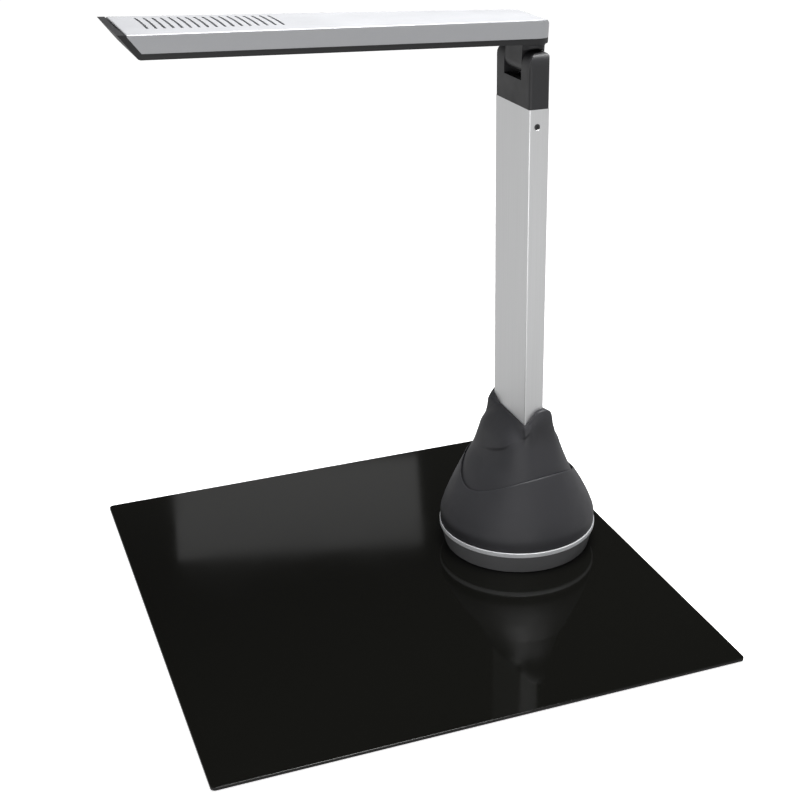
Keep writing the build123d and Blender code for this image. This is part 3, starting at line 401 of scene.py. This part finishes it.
def seam_proud(azimuth):
    """How far the skirt stands out of the collar at the seam: most on the +X side, least on -X."""
    return PROUD_LEAST + PROUD_MORE * smooth(0.5 + 0.5 * cos(azimuth - radians(PROUD_AZIMUTH)))


def build(name, body, rings, node, material, sharp=()):
    """Tube of quads through rings of points, closed from its last ring to its first."""
    count = len(rings[0])
    rows = len(rings)
    points = [(x * MM, y * MM, (z + DECK) * MM) for ring in rings for x, y, z in ring]
    faces = []
    for r in range(rows):
        low, high = r * count, (r + 1) % rows * count
        for i in range(count):
            j = (i + 1) % count
            faces.append((low + i, low + j, high + j, high + i))
    mesh = bpy.data.meshes.new(name)
    mesh.from_pydata(points, [], faces)
    mesh.validate()
    mesh.shade_smooth()
    if sharp:
        marks = {frozenset((r * count + i, r * count + (i + 1) % count))
                 for r in sharp for i in range(count)}
        for edge in mesh.edges:
            edge.use_edge_sharp = frozenset(edge.vertices) in marks
    mesh.materials.append(material)
    piece = bpy.data.objects.new(name, mesh)
    bpy.context.scene.collection.objects.link(piece)
    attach(piece, body)
    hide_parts(node)


def build_skirt(material):
    count, outer_rows, inner_rows = 360, 34, 8
    azimuths = [2 * pi * i / count for i in range(count)]
    seams = [seam_height(a) for a in azimuths]

    def ring(height_at, inset_at):
        """One ring: its height follows the seam's, and it lies inside the skirt's outside."""
        heights = [height_at(seam) for seam in seams]
        return [polar(a, radius(SKIRT, a, z) - inset_at(a), z) for a, z in zip(azimuths, heights)]

    def climb(drop, share):
        """Heights a share of the way from the bottom to a line at drop below the seam."""
        return lambda seam: SKIRT_BOTTOM + (seam - drop - SKIRT_BOTTOM) * share

    def below_seam(drop):
        return lambda seam: seam - drop

    def tuck(azimuth):
        return seam_proud(azimuth) + 0.1

    rings = [ring(climb(LIP_DROP, k / outer_rows), lambda a: 0) for k in range(outer_rows + 1)]
    for turn in (30, 60, 90):
        angle = radians(turn)
        rings.append(ring(below_seam(LIP_DROP - LIP * sin(angle)), lambda a: LIP * (1 - cos(angle))))
    rings.append(ring(below_seam(TUCK_TOP), tuck))
    rings.append(ring(below_seam(TUCK_FOOT), tuck))
    rings.append(ring(below_seam(TUCK_FOOT + 1), lambda a: SHELL + 0.8))
    for k in range(inner_rows, -1, -1):
        rings.append(ring(climb(TUCK_FOOT + 2, k / inner_rows), lambda a: SHELL))
    build("skirt_shell", "base", rings, "lower_skirt", material, sharp=(0, len(rings) - 1))


def rim_points(count):
    """The rim's outer edge, evenly spaced along a smooth closed curve through RIM."""
    n, steps = len(RIM), 24
    dense = []
    for k in range(n):
        p0, p1, p2, p3 = [Vector(RIM[(k + j) % n]) for j in (-1, 0, 1, 2)]
        for m in range(steps):
            t = m / steps
            dense.append(0.5 * (2 * p1 + (p2 - p0) * t + (2 * p0 - 5 * p1 + 4 * p2 - p3) * t * t
                                + (3 * p1 - p0 - 3 * p2 + p3) * t ** 3))
    lengths = [0.0]
    for a, b in zip(dense, dense[1:] + dense[:1]):
        lengths.append(lengths[-1] + (b - a).length)
    dense.append(dense[0])
    points = []
    for i in range(count):
        target = lengths[-1] * i / count
        k = int(np.searchsorted(lengths, target, side="right")) - 1
        share = (target - lengths[k]) / max(1e-9, lengths[k + 1] - lengths[k])
        points.append(dense[k].lerp(dense[k + 1], share))
    return points


def column_distance(azimuth):
    """Distance from the axis to the column's hole, along an azimuth."""
    return min(COLUMN_X / max(1e-6, abs(cos(azimuth))), COLUMN_Y / max(1e-6, abs(sin(azimuth))))


def sway(height):
    """The collar's middle stands a little towards +X of the base's axis."""
    return 1.3 * smooth((height - 95) / 20) * (1 - smooth((height - 150) / 12))


def crease_at(azimuth):
    """Crease's height and depth at an azimuth; the same crease runs on the far side, half a turn on."""
    turned = (azimuth * 180 / pi + 270) % 180 - 270  # -270 up to -90, on either side
    last, highest = CREASE[-1]
    height = spline_at(CREASE, min(turned, last), 1)
    height = highest + (height - highest) * smooth((turned + 270) / 50)
    depth = smooth((turned + 215) / 75) * smooth((-94 - turned) / 16)
    return height, depth


def collar_outside(azimuth, reach, top):
    """The collar's outside at one azimuth, up to its rim, as a function from height to distance."""
    lobe = smooth((top - LOBE_FOOT) / LOBE_RISE)
    wall = radius(COLLAR, azimuth, BROW_START)
    lean = (radius(COLLAR, azimuth, BROW_START + 1) - radius(COLLAR, azimuth, BROW_START - 1)) / 2
    handle = (top - BROW_START) * BROW_HANDLE
    arrival = Vector((-0.80 + 0.44 * lobe, 0.45 + 0.46 * lobe))
    first = Vector((wall + lean * handle, BROW_START + handle))
    last = Vector((reach, top)) - arrival * handle * (0.75 + 0.1 * lobe)

    def distance(height):
        if height <= BROW_START:
            return radius(COLLAR, azimuth, height)
        low, high = 0.0, 1.0
        for _ in range(24):              # halve the interval until the curve's height is found
            t = (low + high) / 2
            reached = bezier(t, BROW_START, first.y, last.y, top)
            low, high = (t, high) if reached < height else (low, t)
        return bezier(t, wall, first.x, last.x, reach)

    return distance


def collar_rib(point):
    """Closed loop round the collar's wall at one azimuth: up the outside, over the rim, down inside."""
    lower_rows, upper_rows, inner_rows = 22, 26, 5
    azimuth = atan2(point.y, point.x)
    top = point.z
    reach = (point.x ** 2 + point.y ** 2) ** 0.5
    outside = collar_outside(azimuth, reach, top)
    seam = seam_height(azimuth)
    proud = seam_proud(azimuth)
    foot = seam - COLLAR_FOOT
    crease, depth = crease_at(azimuth)
    crease = min(max(crease, seam + CREASE_ROOM[0]), top - CREASE_ROOM[1])

    def tuck_at(height):
        slow, fast = [smooth((height - seam) / fade) for fade in TUCK_FADES]
        return 0.5 * proud * (2 - slow - fast)

    rib = []
    for k in range(lower_rows + 1):
        z = foot + (crease - foot) * k / lower_rows
        under = depth * CREASE_UNDER * smooth(1 - (crease - z) / CREASE_FADES[0])
        rib.append(polar(azimuth, outside(z) - tuck_at(z) - under, z, sway(z)))
    for k in range(upper_rows + 1):
        z = crease + CREASE_BAND + (top - RIM_EDGE - crease - CREASE_BAND) * k / upper_rows
        over = depth * CREASE_OVER * smooth(1 - (z - crease) / CREASE_FADES[1])
        rib.append(polar(azimuth, outside(z) - tuck_at(z) + over, z, sway(z)))
    inner = column_distance(azimuth)
    land = LAND + (top - LAND) * smooth((abs(sin(azimuth)) - 0.80) / 0.15)
    for t, lift in RIM_CROWN:
        rib.append(polar(azimuth, reach + (inner - reach) * t, top + (land - top) * t + lift))
    rib.append(polar(azimuth, inner, land - HOLE_EDGE))
    rib.append(polar(azimuth, inner, MOUTH))
    rib.append(polar(azimuth, min(outside(STEP) - SHELL, outside(STEP) * 0.9), STEP))
    for k in range(inner_rows + 1):
        z = THROAT + (foot - THROAT) * k / inner_rows
        rib.append(polar(azimuth, outside(z) - SHELL - 0.6 - (proud if k > 2 else 0), z))
    return rib


def build_collar(material):
    count = 420
    ribs = [collar_rib(point) for point in rim_points(count)]
    rings = [list(ring) for ring in zip(*ribs)]
    build("collar_shell", "base", rings, "upper_collar", material)


add_camera()
add_world()
add_floor()
add_area("key_top", spot=(0.05, -0.1, 1.5), aim=(-0.05, 0, 0.5), size=(0.7, 0.7), power=33)
add_area("back_card", spot=(0.1, 1.4, 0.695), aim=(-0.2, 0.17, 0), size=(0.55, 0.2), power=0.15)
add_area("front_fill", spot=(-0.6, -1.1, 0.12), aim=(0, 0, 0.03), size=(1.5, 0.22), power=3.3)
materials = make_materials()
dress_nodes(materials)
build_skirt(materials["base_grey"])
build_collar(materials["base_grey"])
